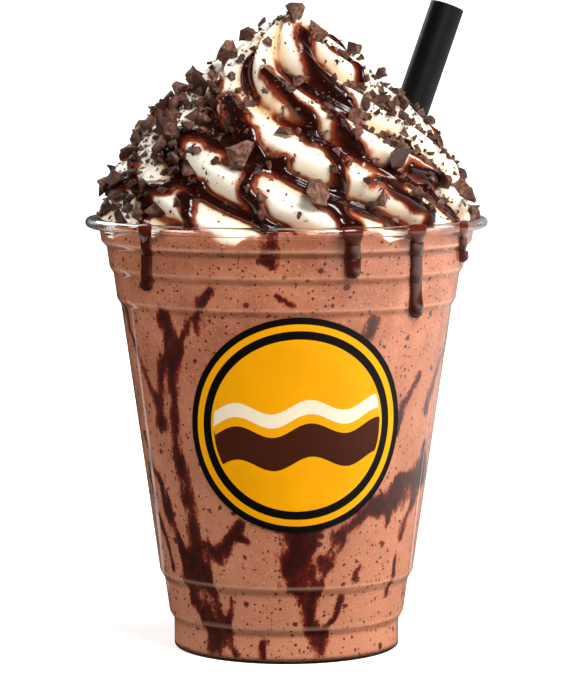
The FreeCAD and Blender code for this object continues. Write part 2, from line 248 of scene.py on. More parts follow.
def floor_outline(share):
    """Along the sweep from front to back: flat, then a quarter round, then upright, in metres."""
    bend = FLOOR_ROUND * math.pi / 2
    run = share * (FLOOR_LENGTH + bend + FLOOR_UPRIGHT)
    angle = np.clip((run - FLOOR_LENGTH) / FLOOR_ROUND, 0.0, math.pi / 2)
    y = FLOOR_FRONT + np.minimum(run, FLOOR_LENGTH) + FLOOR_ROUND * np.sin(angle)
    z = FLOOR_ROUND * (1.0 - np.cos(angle)) + np.maximum(0.0, run - FLOOR_LENGTH - bend)
    return y, z


pale = Nodes("pale_floor")
pale.paint(pale.ramp(
    pale.noise(400.0, detail=2.0), (0.3, colour(246, 245, 243)), (0.7, colour(249, 248, 247))))
pale.set(Roughness=0.9)
from_cup = pale.add("ShaderNodeVectorMath", operation="LENGTH")
pale.link(pale.place, from_cup.inputs[0])
growth = pale.add("ShaderNodeMapRange")
for socket, number in zip(("From Min", "From Max", "To Min", "To Max"), (0.03, 0.30, 0.42, 0.95)):
    growth.inputs[socket].default_value = number
pale.link(from_cup.outputs["Value"], growth.inputs["Value"])
glow = pale.add("ShaderNodeEmission")
pale.link(growth.outputs["Result"], glow.inputs["Strength"])
lit = pale.add("ShaderNodeAddShader")
pale.link(pale.shader.outputs["BSDF"], lit.inputs[0])
pale.link(glow.outputs["Emission"], lit.inputs[1])
dim = pale.add("ShaderNodeBsdfDiffuse")
to_right = pale.above(pale.along("X"), 0.02, 5.0)
pale.link(pale.mix(to_right, colour(78, 72, 68), colour(242, 239, 236)), dim.inputs["Color"])
path = pale.add("ShaderNodeLightPath").outputs
bounces = pale.math("ADD", path["Diffuse Depth"], path["Glossy Depth"], clamp=True)
straight = pale.math("SUBTRACT", path["Is Transmission Ray"], bounces, clamp=True)
seen = pale.math("ADD", path["Is Camera Ray"], straight, clamp=True)
pale.finish(pale.either(seen, dim.outputs["BSDF"], lit.outputs["Shader"]))
floor_y, floor_z = floor_outline(np.linspace(0.0, 1.0, FLOOR_ROWS)[:, None])
across = np.linspace(-FLOOR_HALF_WIDTH, FLOOR_HALF_WIDTH, FLOOR_COLUMNS)[None, :]
floor_points = np.stack(np.broadcast_arrays(across, floor_y, floor_z - BELOW_THE_CUP), axis=-1) / MM
floor_faces = ring_faces(FLOOR_ROWS, FLOOR_COLUMNS, closed=False)
new_object("floor", floor_points, floor_faces, pale.material)

# %% [markdown]
# Soft light comes from large area lamps: a bright one high on the right in front, a broad panel on
# the right, a weaker strip on the left, and one behind that makes the edges of the cup glow.  A clear
# wall mirrors a lamp over everything behind it, so the two lamps at the sides leave no reflection of
# themselves.  The air is white for the camera and nearly dark for all other light.

# %% Lamps
world = bpy.data.worlds.new("studio")
world.use_nodes = True
AIR_LIGHT = 0.04
air = world.node_tree.nodes["Background"]
air.inputs["Color"].default_value = (1.0, 1.0, 1.0, 1.0)
strength = world.node_tree.nodes.new("ShaderNodeMath")
strength.operation = "MULTIPLY_ADD"
strength.inputs[1].default_value = 1.0 - AIR_LIGHT
strength.inputs[2].default_value = AIR_LIGHT
to_camera = world.node_tree.nodes.new("ShaderNodeLightPath").outputs["Is Camera Ray"]
world.node_tree.links.new(to_camera, strength.inputs[0])
world.node_tree.links.new(strength.outputs[0], air.inputs["Strength"])
bpy.context.scene.world = world


def area_lamp(name, place, width, height, power, shade=(1.0, 1.0, 1.0), mirrored=True):
    """A rectangular soft lamp that points at the drink; lengths in metres, power in watts.

    A lamp that is not mirrored lights things but leaves no reflection of itself on the clear cup.
    """
    data = bpy.data.lights.new(name, "AREA")
    data.shape = "RECTANGLE"
    data.size, data.size_y = width, height
    data.energy = power
    data.color = shade
    lamp = bpy.data.objects.new(name, data)
    lamp.location = place
    direction = np.array(DRINK_MIDDLE) - np.array(place)
    lamp.rotation_euler = Vector(direction).to_track_quat("-Z", "Y").to_euler()
    lamp.visible_camera = False
    lamp.visible_glossy = mirrored
    bpy.context.scene.collection.objects.link(lamp)


DRINK_MIDDLE = (0.0, 0.0, 0.09)
area_lamp("key", (0.32, -0.50, 0.66), 0.34, 0.34, 6.8, (1.0, 0.985, 0.96))
area_lamp("right_panel", (0.62, -0.12, 0.24), 0.72, 0.55, 6.4, (1.0, 0.99, 0.97), mirrored=False)
area_lamp("left_strip", (-0.60, -0.30, 0.26), 0.20, 0.60, 3.5, mirrored=False)
area_lamp("back", (-0.30, 0.55, 0.50), 0.50, 0.40, 2.4)

# %% [markdown]
# The wall leans outward as it rises, so it mirrors the table, not the room.  Bright cards that lie
# beside the cup give it a narrow pale reflection near each edge.  Their light fades out towards
# their own edges, and the camera doesn't see them.

# %% Cards on the table
CARD_HEIGHT = 0.002


def table_card(name, direction, start, end, width, radiance):
    """A glowing card from start to end metres out, direction degrees round from the front.

    Its glow is radiance times (1 - a^2)^1.5 * (1 - b^2)^0.5, with a across and b along it.
    """
    rows, columns = 25, 17
    along = np.linspace(-1.0, 1.0, rows)[:, None]
    across = np.linspace(-1.0, 1.0, columns)[None, :]
    angle = math.radians(direction)
    out = 0.5 * (start + end) + 0.5 * (end - start) * along
    side = 0.5 * width * across
    x = out * math.sin(angle) + side * math.cos(angle)
    y = -out * math.cos(angle) + side * math.sin(angle)
    points = np.stack(np.broadcast_arrays(x, y, CARD_HEIGHT), axis=-1) / MM
    glow_share = np.maximum(1.0 - across ** 2, 0.0) ** 1.5 * np.maximum(1.0 - along ** 2, 0.0) ** 0.5
    nodes = Nodes(name)
    shine = nodes.add("ShaderNodeEmission")
    nodes.link(nodes.math("MULTIPLY", nodes.value("glow"), radiance), shine.inputs["Strength"])
    nodes.finish(shine.outputs["Emission"])
    card = new_object(name, points, ring_faces(rows, columns, closed=False), nodes.material,
                      values={"glow": np.broadcast_to(glow_share, points.shape[:2])})
    card.visible_camera = False
    card.visible_transmission = False
    card.visible_shadow = False


table_card("right_edge_card", 137.0, 0.06, 0.50, 0.030, 1.5)
table_card("left_edge_card", -134.0, 0.06, 0.50, 0.034, 1.3)

# %% [markdown]
# ## The cup
# Such a cup is drawn from one thin sheet of clear plastic: a foot, ledges that let the cups stack, a
# long plain wall, a collar and a rim that is rolled over so that it doesn't cut.  A turned outline
# gives it all.  The wall's radius is a list of straight steps, softened a little, because the sheet
# never bends sharply.  The rim is hollow, so it gets a second closed skin inside.

# %% The wall's outline
WALL = 0.5
FLOOR_TOP = 2.4
RECESS_RADIUS, RECESS_DEPTH = 24.2, 1.6
FOOT_RADIUS, FOOT_ROUND = 27.6, 0.7
DRAFT = 0.142
# The wall's steps from the foot up: outward, upward.
STEPS = np.array([
    (0.0, 6.8),
    (1.15, 1.9), (8.2 * DRAFT, 8.2), (1.15, 1.9),
    (65.4 * DRAFT, 65.4),
    (0.93, 1.45), (6.2 * DRAFT, 6.2), (0.93, 1.45), (5.0 * DRAFT, 5.0),
    (1.3, 1.35), (3.3 * DRAFT, 3.3),
])
corner_radii = FOOT_RADIUS + np.concatenate([[0.0], np.cumsum(STEPS[:, 0])])
corner_heights = np.concatenate([[0.0], np.cumsum(STEPS[:, 1])])
COLLAR_TOP = corner_heights[-1]
COLLAR_RADIUS = corner_radii[-1]
BEAD_WIDTH, BEAD_HEIGHT = 3.9, 2.4
CUP_TOP = COLLAR_TOP + BEAD_HEIGHT
MOUTH_RADIUS = COLLAR_RADIUS - WALL
LEVEL = COLLAR_TOP - 2.1
print(f"collar {COLLAR_RADIUS:.2f} mm at {COLLAR_TOP:.2f} mm, cup {CUP_TOP:.2f} mm high")


def wall_radius(height, softness=0.38):
    """Outer radius of the wall: the straight steps, averaged over a few points within softness."""
    offsets = np.linspace(-1.0, 1.0, 9) * softness
    weights = 1.0 - offsets ** 2 / (softness * 1.01) ** 2
    samples = np.asarray(height, float)[..., None] + offsets
    return np.interp(samples, corner_heights, corner_radii) @ (weights / weights.sum())


def arc(middle, radius, start, end, count):
    """Points of a circular arc in the outline's plane, from one angle to another in degrees."""
    angle = np.radians(np.linspace(start, end, count))
    return np.asarray(middle) + radius * np.stack([np.cos(angle), np.sin(angle)], axis=-1)


def round_axis(radius, angle, height):
    """Points at these distances from the upright axis, angles round it, and heights."""
    return np.stack(np.broadcast_arrays(
        radius * np.cos(angle), radius * np.sin(angle), height), axis=-1)


def turned(outline, columns):
    """Turn an outline of (radius, height) once round the upright axis."""
    angle = np.linspace(0.0, 2 * math.pi, columns, endpoint=False)
    return round_axis(outline[:, :1], angle, outline[:, 1:])


# %% The cup's skin
fine = [corner + np.linspace(-0.9, 0.9, 10) for corner in corner_heights[1:-1]]
even = np.linspace(FOOT_ROUND, COLLAR_TOP, 34)
wall_heights = np.unique(np.round(np.concatenate(fine + [even]), 3))
wall_heights = wall_heights[(wall_heights >= FOOT_ROUND) & (wall_heights <= COLLAR_TOP)]
outside = np.stack([wall_radius(wall_heights), wall_heights], axis=-1)
bead_round = BEAD_HEIGHT / 2
bead_middle = COLLAR_TOP + bead_round
inside_heights = np.concatenate([wall_heights[wall_heights > 1.6], [bead_middle]])[::-1]
inside = np.stack([wall_radius(inside_heights) - WALL, inside_heights], axis=-1)
bead_out = (MOUTH_RADIUS + BEAD_WIDTH - bead_round, bead_middle)
bead_in = (MOUTH_RADIUS + bead_round, bead_middle)
outline = np.concatenate([
    [(0.0, RECESS_DEPTH), (RECESS_RADIUS - 0.4, RECESS_DEPTH), (RECESS_RADIUS, RECESS_DEPTH - 0.4)],
    [(RECESS_RADIUS, 0.3), (RECESS_RADIUS + 0.3, 0.0), (FOOT_RADIUS - FOOT_ROUND, 0.0)],
    arc((FOOT_RADIUS - FOOT_ROUND, FOOT_ROUND), FOOT_ROUND, -80, -10, 7),
    outside,
    arc(bead_out, bead_round, -90, 90, 13),
    arc(bead_in, bead_round, 90, 170, 8),
    inside,
    [(FOOT_RADIUS - WALL - 0.2, 1.1), (FOOT_RADIUS - WALL - 0.8, 0.8), (RECESS_RADIUS + 1.1, 0.8)],
    [(RECESS_RADIUS + WALL, 1.2), (RECESS_RADIUS + WALL, 2.0), (RECESS_RADIUS, FLOOR_TOP)],
    [(0.0, FLOOR_TOP)],
])
CUP_COLUMNS = 192
cup_points = turned(outline, CUP_COLUMNS).reshape(-1, 3)
cup_faces = ring_faces(len(outline), CUP_COLUMNS)

# the hollow inside the rolled rim: the same rounded shape, a wall's thickness in, facing inward
hollow = bead_round - 0.24
roll = np.concatenate([
    arc(bead_out, hollow, -90, 90, 11),
    arc((bead_in[0] + 0.1, bead_middle), hollow, 90, 270, 11),
])
roll = np.concatenate([roll, roll[:1]])[::-1]
roll_faces = ring_faces(len(roll), CUP_COLUMNS) + len(cup_points)
cup_points = np.concatenate([cup_points, turned(roll, CUP_COLUMNS).reshape(-1, 3)])
cup_faces = np.concatenate([cup_faces, roll_faces])

# %% [markdown]
# Clear plastic lets light through and bends it a little.  A shadow from real bent light would take
# many samples, so for shadow rays the plastic is simply see-through.

# %% Clear plastic
clear = Nodes("clear_plastic")
clear.set(Roughness=0.03, IOR=1.45, Transmission_Weight=1.0)
clear.set(Base_Color=colour(252, 250, 249))
clear.bump(clear.noise(9.0, detail=1.0), 0.05, 0.35)
see_through = clear.add("ShaderNodeBsdfTransparent")
see_through.inputs["Color"].default_value = (0.93, 0.92, 0.91, 1.0)
for_shadow = clear.add("ShaderNodeLightPath").outputs["Is Shadow Ray"]
clear.finish(clear.either(for_shadow, clear.shader.outputs["BSDF"], see_through.outputs["BSDF"]))
cup = new_object("clear_cup", cup_points, cup_faces, clear.material)
merge_doubles(cup)
part_of_drink(cup, ["cup"])

# %% [markdown]
# ## Runs of sauce as paths
# Sauce shows in three places: swirled into the drink behind the wall, over the cream, and down the
# outside of the cup.  Each run is a short path of points: degrees round from the front towards the
# right, and height.  How far a point of a surface lies from the nearest path, measured in widths of
# that run, tells whether there is sauce.  Runs that come close melt together, because the closeness
# of all of them is added up.

# %% How far from the nearest run


def nearness(azimuth, height, radius, runs, reach=3.5):
    """Nearness to all runs, 1 in the middle of one and falling by exp(-1.2 * (distance / width)^2).

    A run is (half width, points); points are (degrees, height).  Distances are on the surface:
    radius times the angle, and the height.
    """
    total = np.zeros(np.broadcast(azimuth, height).shape)
    for half_width, points in runs:
        nearest = np.full(total.shape, 1e9)
        for (turn_a, height_a), (turn_b, height_b) in zip(points[:-1], points[1:]):
            middle = 0.5 * (turn_a + turn_b)
            away = (azimuth - middle + 180.0) % 360.0 - 180.0
            across = radius * np.radians(away)
            half = radius * math.radians(0.5 * (turn_b - turn_a))
            run_up = height_b - height_a
            along_x, along_y = across + half, height - height_a
            length_squared = (2.0 * half) ** 2 + run_up ** 2 + 1e-9
            share = np.clip((along_x * 2.0 * half + along_y * run_up) / length_squared, 0.0, 1.0)
            gap = np.hypot(along_x - share * 2.0 * half, along_y - share * run_up)
            nearest = np.minimum(nearest, gap)
        total += np.exp(-1.2 * np.minimum(nearest / half_width, reach) ** 2)
    return total


def widths_away(closeness):
    """Nearness turned back into a distance in half widths: 0 on the run, 1 at its edge."""
    return np.sqrt(np.maximum(0.0, -np.log(np.maximum(closeness, 1e-6)) / 1.2))


def soft_waves(points, size, seed, count=14):
    """Smooth unevenness from -1 to 1: waves in random directions, about size millimetres long."""
    random = np.random.default_rng(seed)
    directions = random.normal(size=(count, 3))
    directions /= np.linalg.norm(directions, axis=1, keepdims=True)
    stretch = random.uniform(0.7, 1.6, count)
    shift = random.uniform(0.0, 2 * math.pi, count)
    waves = np.sin(points @ (directions * stretch[:, None]).T * (2 * math.pi / size) + shift)
    return waves.mean(axis=-1) * math.sqrt(count) * 0.6


# %% [markdown]
# ## The drink
# The drink fills the cup, so it has the shape of the cup's inside.  Its skin reaches a fifth of a
# millimetre into the wall: if it only touched, the two surfaces would fight, and if it stopped short
# a film of air would show.  Sauce that was swirled round the inside of the cup shows as streaks.

# %% Streaks in the drink
STREAKS = [
    (2.3, [(-47, 84), (-45, 80), (-47, 74), (-52, 67), (-55, 62), (-55, 58)]),
    (1.5, [(-25, 90), (-28, 87), (-31, 85), (-32, 81)]),
    (1.0, [(-34, 84), (-37, 81), (-40, 76)]),
    (1.7, [(-40, 76), (-44, 71), (-46, 64), (-46, 57), (-47, 50)]),
    (2.1, [(-47, 50), (-45, 43), (-43, 35), (-42, 28), (-42, 22)]),
    (2.9, [(-42, 24), (-42, 14), (-37, 9), (-34, 4)]),
    (1.2, [(-74, 85), (-72, 79), (-66, 73), (-62, 68), (-57, 63)]),
    (1.3, [(-72, 54), (-69, 48), (-63, 41), (-59, 36), (-54, 29), (-51, 22), (-50, 15)]),
    (1.0, [(-73, 46), (-70, 35), (-64, 28), (-60, 22)]),
    (1.5, [(-80, 86), (-84, 72), (-82, 58), (-88, 40)]),
    (1.7, [(-36, 28), (-31, 26), (-25, 30), (-20, 34)]),
    (0.9, [(-25, 31), (-17, 30)]),
    (1.1, [(-26, 15), (-28, 11), (-35, 7)]),
    (3.3, [(4, 36), (3, 28), (3, 21)]),
    (2.2, [(6, 22), (9, 16), (11, 11), (16, 7), (17, 2)]),
    (1.3, [(12, 34), (9, 26), (11, 20), (9, 16)]),
    (1.9, [(84, 43), (70, 42), (58, 41), (50, 43)]),
    (2.0, [(66, 38), (52, 39), (43, 38), (34, 37), (27, 34), (23, 30), (18, 25)]),
    (0.8, [(26, 17), (24, 12), (18, 8)]),
    (1.2, [(69, 52), (68, 43), (61, 34), (58, 29)]),
    (1.6, [(86, 84), (82, 77), (74, 71), (70, 66), (66, 60)]),
    (1.2, [(56, 69), (52, 65), (48, 62), (46, 56)]),
    (1.4, [(31, 83), (28, 78)]),
    (1.1, [(33, 23), (31, 21)]),
    (0.8, [(55, 24), (56, 20)]),
    (0.8, [(54, 18), (54, 15)]),
    (1.2, [(-12, 5), (-12, 2)]),
    (1.6, [(-48, 26), (-47, 18), (-43, 10), (-40, 3)]),
    (1.3, [(-38, 22), (-35, 14), (-30, 7), (-27, 2)]),
    (0.9, [(-58, 40), (-54, 31), (-48, 23)]),
    (1.6, [(22, 31), (18, 26), (15, 19)]),
    (2.0, [(72, 45), (58, 44), (48, 41), (40, 38)]),
    (1.0, [(52, 42), (48, 36), (46, 32)]),
    (1.9, [(-5, 104), (-5, 98)]),
    (0.9, [(-3, 89), (2, 87)]),
]
# The back is swirled in the same way.
back_streaks = [
    (width, [(186 + turn, 5 + 0.92 * height) for turn, height in points])
    for width, points in STREAKS[:-2]
]

# %% The drink's skin
REACH = 0.2
SHAKE_COLUMNS, SHAKE_ROWS = 448, 200
SMEAR_TOP, SMEAR_DEPTH = CUP_TOP - 1.0, 3.4
LEDGES_FROM, LEDGES_TO = 3.0, 101.5
side_heights = np.linspace(1.3, SMEAR_TOP, SHAKE_ROWS)
side = np.stack([side_heights, side_heights], axis=-1)
shake_outline = np.concatenate([
    [(0.0, FLOOR_TOP - REACH), (RECESS_RADIUS - 0.2, FLOOR_TOP - REACH), (RECESS_RADIUS + 0.6, 1.0)],
    [(FOOT_RADIUS - 1.4, 0.6)],
    side,
    [(MOUTH_RADIUS - 3.0, SMEAR_TOP - 1.5), (0.0, SMEAR_TOP - 1.5)],
])
shake_points = turned(shake_outline, SHAKE_COLUMNS)
around = np.linspace(0.0, 2 * math.pi, SHAKE_COLUMNS, endpoint=False)
dips = np.clip(0.12 + 0.50 * np.sin(13.0 * around + 0.4) + 0.45 * np.sin(7.0 * around + 2.2)
               + 0.35 * np.sin(29.0 * around), 0.0, 1.0)
on_side = slice(4, 4 + SHAKE_ROWS)
near_top = np.clip((side_heights[:, None] - 92.0) / 12.0, 0.0, 1.0)
lowered = side_heights[:, None] - dips[None, :] * SMEAR_DEPTH * near_top
side_radii = wall_radius(np.minimum(lowered, COLLAR_TOP)) - WALL + REACH
shake_points[on_side] = round_axis(side_radii, around, lowered)
shake_azimuth = np.degrees(np.arctan2(shake_points[..., 0], -shake_points[..., 1]))
shake_radius = np.hypot(shake_points[..., 0], shake_points[..., 1])
wander = soft_waves(shake_points, 7.0, seed=3)
closeness = nearness(
    shake_azimuth + 1.1 * wander,
    shake_points[..., 2] + 0.9 * soft_waves(shake_points, 9.0, seed=4),
    shake_radius,
    STREAKS + back_streaks,
)
streak = np.clip(1.8 - widths_away(closeness), 0.0, 1.8) / 1.8
streak = streak * np.clip(0.92 + 0.30 * soft_waves(shake_points, 16.0, seed=5), 0.0, 1.0)


def ledge_shade(height, reach=0.42):
    """Bend of the wall's outline, -1 to 1: positive at a ledge's outer edge."""
    above, here, below = (wall_radius(height + step) for step in (reach, 0.0, -reach))
    return np.clip((2.0 * here - above - below) / 0.26, -1.0, 1.0)


# Where light is painted on the ledges: a painted reflection at the outer edge, painted shade in the
# inner corner.
ledge_heights = np.clip(shake_points[..., 2], LEDGES_FROM, LEDGES_TO)
ledge = np.where(shake_points[..., 2] > LEDGES_FROM, ledge_shade(ledge_heights), 0.0)
print("share of the drink's skin under streaks:", round(float((streak > 0.4).mean()), 3))

# %% [markdown]
# Milk and ice cream scatter light inside, so the drink gets some subsurface light.  Its colour is a
# tan brown, made lighter low down by painted fill light, with pale flecks that are painted glints.
# A streak is nearly black brown in its middle and orange brown where it thins out, and noise breaks
# up its edge.  Two sizes of ground chocolate specks come from Voronoi cells: a speck is the middle
# of a cell, and each cell has its own size of speck.
# Painted light along the ledges: a painted reflection of the table makes the drink lighter along a
# ledge's outer edge, and painted shade makes it darker in its inner corner.

# %% Milkshake


def specks(nodes, cell, largest):
    """1 inside specks, 0 outside: the middles of Voronoi cells of cell millimetres, bent by noise."""
    bend = nodes.add("ShaderNodeVectorMath", operation="MULTIPLY_ADD")
    nodes.link(nodes.noise(0.9, output="Color"), bend.inputs[0])
    bend.inputs[1].default_value = (0.0011,) * 3
    nodes.link(nodes.place, bend.inputs[2])
    cells = nodes.add("ShaderNodeTexVoronoi", feature="F1")
    cells.inputs["Scale"].default_value = 1.0 / (cell * MM)
    nodes.link(bend.outputs["Vector"], cells.inputs["Vector"])
    own = nodes.add("ShaderNodeSeparateColor")
    nodes.link(cells.outputs["Color"], own.inputs["Color"])
    size = nodes.math("MULTIPLY", nodes.math("POWER", own.outputs["Red"], 2.0), largest / cell)
    return nodes.above(size, cells.outputs["Distance"], 16.0)


shake = Nodes("milkshake")
body_colour = shake.ramp(
    shake.noise(11.0, detail=4.0),
    (0.32, colour(141, 84, 60)), (0.50, colour(157, 98, 71)), (0.70, colour(172, 114, 87)),
)
# Painted fill light: the drink's colour is made lighter towards the foot, where the lamps light it
# less.
painted_fill_low_down = shake.above(shake.along("Z"), 0.085, -8.0)
body_colour = shake.mix(painted_fill_low_down, body_colour, colour(178, 124, 97))
# Painted glints: pale flecks in the colour that stand in for tiny highlights.
painted_glints = shake.above(shake.noise(0.55, detail=3.0, roughness=0.75), 0.56, 3.2)
body_colour = shake.mix(painted_glints, body_colour, colour(226, 176, 150))
drawn_out = shake.add("ShaderNodeMapping")
drawn_out.inputs["Scale"].default_value = (1.0, 1.0, 0.45)
shake.link(shake.place, drawn_out.inputs["Vector"])
long_grain = shake.noise(3.4, detail=5.0, roughness=0.68, vector=drawn_out.outputs["Vector"])
dots = shake.noise(0.75, detail=4.0, roughness=0.7)
broken = shake.math("ADD", shake.above(long_grain, 0.5, 2.1, clamp=False),
                    shake.above(dots, 0.5, 0.55, clamp=False))
near = shake.math("MULTIPLY", shake.value("streak"), 4.0, clamp=True)
edge = shake.math("ADD", shake.value("streak"), shake.math("MULTIPLY", broken, near))
covered = shake.above(edge, 0.26, 3.4)
sauce_colour = shake.ramp(
    edge,
    (0.20, colour(158, 92, 64)), (0.40, colour(124, 50, 27)), (0.60, colour(84, 20, 9)),
    (0.80, colour(56, 8, 4)), (1.0, colour(40, 4, 2)),
)
tinted = shake.mix(covered, body_colour, sauce_colour)
speck_mask = shake.math("MAXIMUM", specks(shake, 0.95, 0.42), specks(shake, 2.9, 0.92))
speck_mask = shake.math("MULTIPLY", speck_mask, 0.92)
speckled = shake.mix(speck_mask, tinted, colour(62, 18, 9))
# Painted light on the ledges: a painted reflection of the table along the outer edge, painted shade
# in the inner corner.
painted_ledge_light = shake.value("ledge")
painted_ledge_reflection = shake.math("MULTIPLY", painted_ledge_light, 0.55, clamp=True)
speckled = shake.mix(painted_ledge_reflection, speckled, colour(232, 184, 156))
darker = shake.math("MULTIPLY", painted_ledge_light, -0.32, clamp=True)
speckled = shake.mix(darker, speckled, colour(84, 34, 20))
shake.paint(speckled)
shake.set(Roughness=0.42, Specular_IOR_Level=0.12)
shake.set(Subsurface_Weight=0.25, Subsurface_Radius=(1.0, 0.45, 0.3), Subsurface_Scale=0.0012)
milkshake = new_object(
    "milkshake_body", shake_points, ring_faces(len(shake_outline), SHAKE_COLUMNS),
    shake.material, values={"streak": streak, "ledge": ledge},
)
merge_doubles(milkshake)
part_of_drink(milkshake, ["milkshake"])

# %% [markdown]
# ## The cream
# Soft cream from a star nozzle comes out as a rope with ridges.  The rope is laid in a spiral that
# gets narrower, and the ridges end up as a twisted dome.  The surface is a dome pushed in along
# its normal.  The main valleys are the sharp zeros of |cos|, a power rounds the crests between them,
# and a shallower set with twice as many ridges lies on top.  Slow waves make it uneven.

# %% The dome's outline
CREAM_RADIUS = MOUTH_RADIUS - 0.1
CREAM_TOP = CUP_TOP + 49.9
CREAM_FOOT = LEVEL - 1.6
RIDGES = 10
PITCH = 20.0


def dome_outline(rows):
    """Radius, height and outward normal along the crests, evenly spaced from the foot to the tip.

    Up to the rim it follows the cup's inside, then radius = R * (1 - rise ** 1.8).
    """
    heights = np.concatenate([
        np.linspace(CREAM_FOOT, CUP_TOP, 60, endpoint=False),
        CUP_TOP + (CREAM_TOP - CUP_TOP) * np.sin(np.linspace(0.0, math.pi / 2, 1500)),
    ])
    rise = np.clip((heights - CUP_TOP) / (CREAM_TOP - CUP_TOP), 0.0, 1.0)
    in_cup = wall_radius(np.minimum(heights, COLLAR_TOP)) - WALL + 0.12
    up_to_rim = np.clip((heights - COLLAR_TOP) / BEAD_HEIGHT, 0.0, 1.0)
    radii = np.where(rise > 0.0, CREAM_RADIUS * (1.0 - rise ** 1.8),
                     in_cup * (1.0 - up_to_rim) + CREAM_RADIUS * up_to_rim)
    length = np.concatenate([[0.0], np.cumsum(np.hypot(np.diff(radii), np.diff(heights)))])
    even = np.linspace(0.0, length[-1], rows)
    radius = np.interp(even, length, radii)
    height = np.interp(even, length, heights)
    step_r, step_z = np.gradient(radius), np.gradient(height)
    size = np.hypot(step_r, step_z)
    return radius, height, step_z / size, -step_r / size


def cream_push(angle, height, radius):
    """The surface's place along its normal from the crests, in mm, and 0 to 1 into a main valley."""
    wobble = 0.045 * np.sin(3.0 * angle + 1.3) + 0.045 * np.sin(height / 6.1 + 2.0 * angle)
    phase = angle + (height - CUP_TOP) / PITCH + wobble
    lobe = 0.5 * RIDGES * phase
    skewed = lobe + 0.26 * np.sin(2.0 * lobe)
    main = 1.0 - np.abs(np.cos(skewed)) ** 0.62
    second = 1.0 - np.abs(np.cos(2.0 * lobe + 0.9)) ** 0.7
    room = np.clip(radius / 17.0, 0.05, 1.0)
    in_cup = np.clip((height - LEVEL) / 4.0, 0.35, 1.0)
    return -(4.9 * main + 1.15 * second) * room * in_cup, main


def cream_surface(angle, radius, height, normal_r, normal_z, lift=0.0, filled=0.0):
    """Points of the cream, lifted along the normal, with the valleys filled by a share.

    The tip leans 1 mm to the right, by rise squared.  The second result is cream_push's valley.
    """
    push, main = cream_push(angle, height, radius)
    push = push * (1.0 - filled) + lift
    plain = round_axis(radius, angle, height)
    push = push + 0.45 * soft_waves(plain, 13.0, seed=11) * np.clip(radius / 15.0, 0.0, 1.0)
    rise = np.clip((height - CUP_TOP) / (CREAM_TOP - CUP_TOP), 0.0, 1.0)
    reach = np.where(height < CUP_TOP, np.minimum(push, 0.0), push)
    points = round_axis(radius + reach * normal_r, angle, height + reach * normal_z)
    points[..., 0] += rise ** 2
    return points, main


# %% The cream's mesh
CREAM_COLUMNS, CREAM_ROWS = 480, 205
cream_angle = np.linspace(0.0, 2 * math.pi, CREAM_COLUMNS, endpoint=False)[None, :]
dome = dome_outline(CREAM_ROWS)
dome_radius, dome_height, dome_out, dome_up = (part[:, None] for part in dome)
cream_points, valley = cream_surface(cream_angle, dome_radius, dome_height, dome_out, dome_up)
print("cream from", round(cream_points[..., 2].min(), 1), "to", round(cream_points[..., 2].max(), 1))

# %% [markdown]
# ## Sauce over the cream
# Thick sauce clings to the cream and pools in its valleys.  Its surface is the cream's own, with the
# valleys partly filled, lifted by a rounded cushion over each run.  Outside a run it dives under the
# cream, so the visible edge is where two smooth surfaces cross, and no stair steps show.

# %% Runs of sauce
SAUCE_RUNS = [
    (2.4, [(24, 149), (17, 145), (18, 141), (26, 137), (33, 133)]),
    (1.0, [(50, 146), (64, 144), (58, 141), (48, 138)]),
    (1.8, [(-16, 141), (-4, 138), (4, 134), (8, 131), (10, 126)]),
    (2.3, [(-31, 134), (-22, 131), (-16, 127), (-13, 123)]),
    (2.0, [(-44, 126), (-34, 127), (-25, 124), (-17, 121), (-12, 118)]),
    (1.7, [(-44, 126), (-41, 121), (-37, 117), (-40, 115)]),
    (1.7, [(-40, 115), (-51, 113), (-52, 109), (-51, 105), (-51, 102)]),
    (2.0, [(-37, 117), (-30, 115), (-34, 112), (-32, 107), (-31, 104)]),
    (2.7, [(-13, 119), (-11, 114), (-9, 109), (-6, 105)]),
    (2.4, [(-12, 123), (-6, 121), (-1, 120)]),
    (2.2, [(9, 128), (15, 125), (20, 120), (18, 116), (15, 113)]),
    (2.3, [(12, 111), (17, 108), (21, 105), (21, 102)]),
    (2.3, [(21, 132), (24, 126), (29, 122), (35, 120), (40, 117)]),
    (2.0, [(30, 116), (37, 114), (43, 111), (48, 108), (49, 105), (49, 102)]),
    (1.1, [(50, 127), (56, 125), (55, 122)]),
    (1.5, [(47, 119), (53, 117), (58, 115)]),
    (1.6, [(52, 114), (60, 110), (68, 107), (75, 105), (75, 102)]),
    (1.6, [(-62, 118), (-72, 114), (-80, 110), (-86, 106)]),
    (1.5, [(-60, 141), (-48, 138), (-40, 136)]),
]
# The unseen back: longer runs that wind down between the ridges to the drips there.
SAUCE_RUNS += [
    (2.2, [(110, 148), (120, 138), (128, 128), (121, 118), (118, 109), (118, 102)]),
    (2.0, [(150, 140), (158, 130), (168, 121), (172, 112), (171, 102)]),
    (2.1, [(-150, 146), (-140, 136), (-128, 127), (-118, 117), (-112, 109), (-112, 102)]),
    (1.8, [(95, 130), (104, 120), (100, 111), (96, 105)]),
    (1.9, [(-170, 128), (-158, 120), (-152, 112), (-150, 105)]),
    (1.7, [(140, 116), (146, 110), (144, 105)]),
    (1.5, [(-95, 136), (-86, 128), (-92, 120)]),
]


